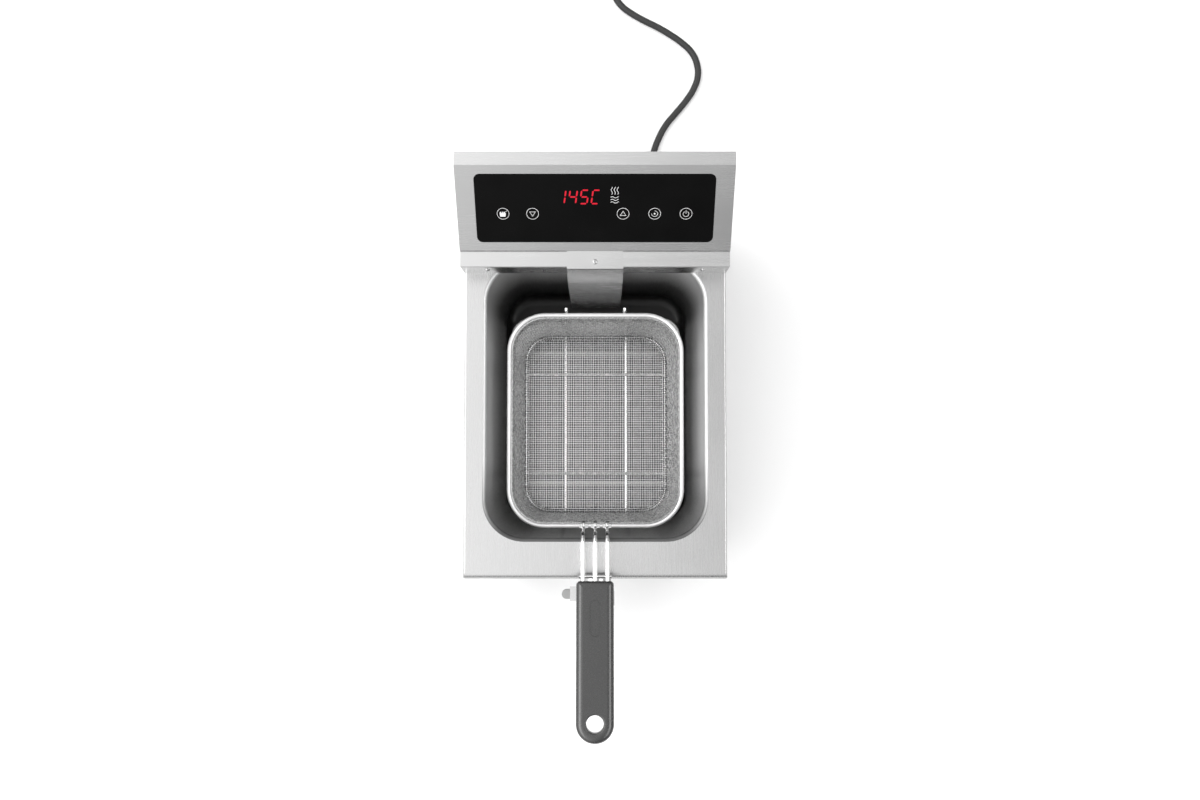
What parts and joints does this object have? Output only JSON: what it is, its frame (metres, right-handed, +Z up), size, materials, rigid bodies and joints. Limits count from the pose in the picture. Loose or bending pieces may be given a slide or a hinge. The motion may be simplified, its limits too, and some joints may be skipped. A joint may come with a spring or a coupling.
{
  "type": "deep fryer",
  "caption": "Countertop induction deep fryer: steel housing with an oil tank, sloping touch-control head, drain tap, bottom grate, and a lift-out wire basket with a long handle.",
  "frame": {"origin": "on the table, under the middle of the box round the housing and the basket's handle, without the power cord", "axes": "+X to the right seen from the front, +Y from the front to the back, +Z up"},
  "size_m": [0.29, 1.0624, 0.405],
  "materials": {
    "brushed_steel": "satin, fine brushed grain",
    "bright_wire": "bright",
    "plated_metal": "satin plated",
    "black_glass": "polished, printed black on its back",
    "dark_plastic": "matte",
    "grip_plastic": "fine matte",
    "lever_plastic": "soft matte",
    "foot_rubber": "matte",
    "circuit_board": "satin",
    "copper": "satin",
    "mat_fibre": "matte",
    "carrier_plastic": "matte",
    "ferrite": "matte",
    "aluminium": "satin",
    "capacitor": "satin",
    "cable_rubber": "matte"
  },
  "bodies": {
    "housing": {"base_tray": "brushed_steel", "outer_wrap": "brushed_steel", "rear_panel": "brushed_steel", "deck_plate": "brushed_steel", "oil_tank": "brushed_steel", "head_shell": "brushed_steel", "head_floor": "brushed_steel", "basket_ledge": "brushed_steel", "sensor_guard": "brushed_steel", "head_screws": "plated_metal", "panel_gasket": "dark_plastic", "control_glass": "black_glass", "touch_board": "circuit_board", "led_display": "dark_plastic", "temperature_probe": "plated_metal", "high_limit_bulb": "copper", "insulation_mat": "mat_fibre", "induction_coil": "copper", "coil_carrier": "carrier_plastic", "ferrite_bars": "ferrite", "inverter_board": "circuit_board", "heat_sink": "aluminium", "power_switches": "dark_plastic", "filter_capacitors": "capacitor", "fan_frame": "dark_plastic", "terminal_block": "carrier_plastic", "foot_front_left": "foot_rubber", "foot_front_right": "foot_rubber", "foot_rear_left": "foot_rubber", "foot_rear_right": "foot_rubber", "panel_screws": "plated_metal", "drain_pipe": "plated_metal", "pipe_nut": "plated_metal", "tap_body": "plated_metal", "tap_spout": "plated_metal", "cord_gland": "cable_rubber", "cord_run": "cable_rubber", "cord_coil": "cable_rubber", "plug_body": "cable_rubber", "plug_pins": "plated_metal"},
    "tap_lever": {"tap_ball": "plated_metal", "tap_stem": "plated_metal", "lever_arm": "brushed_steel", "lever_grip": "lever_plastic", "lever_nut": "plated_metal"},
    "grate": {"grate_frame": "bright_wire", "grate_mesh": "bright_wire"},
    "basket": {"basket_rim": "bright_wire", "basket_wires": "bright_wire", "mesh_front": "bright_wire", "mesh_rear": "bright_wire", "mesh_left": "bright_wire", "mesh_right": "bright_wire", "mesh_corners": "bright_wire", "mesh_floor": "bright_wire", "rear_hooks": "bright_wire", "handle_wires": "bright_wire", "handle_grip": "grip_plastic"},
    "fan": {"fan_impeller": "dark_plastic"}
  },
  "joints": [
    {"name": "tap_turn", "type": "hinge", "parent": "housing", "child": "tap_lever", "pos_m": [0, -0.17332, 0.112], "axis": [0, 0, 1], "range_deg": [0, 90]},
    {"name": "grate_lift", "type": "slide", "parent": "housing", "child": "grate", "axis": [0, 0, 1], "range_m": [0, 0.21]},
    {"name": "basket_lift", "type": "slide", "parent": "grate", "child": "basket", "axis": [0, 0, 1], "range_m": [0, 0.21]},
    {"name": "fan_spin", "type": "hinge", "parent": "housing", "child": "fan", "pos_m": [-0.06, 0.29085, 0.088], "axis": [0, 1, 0], "continuous": true}
  ]
}
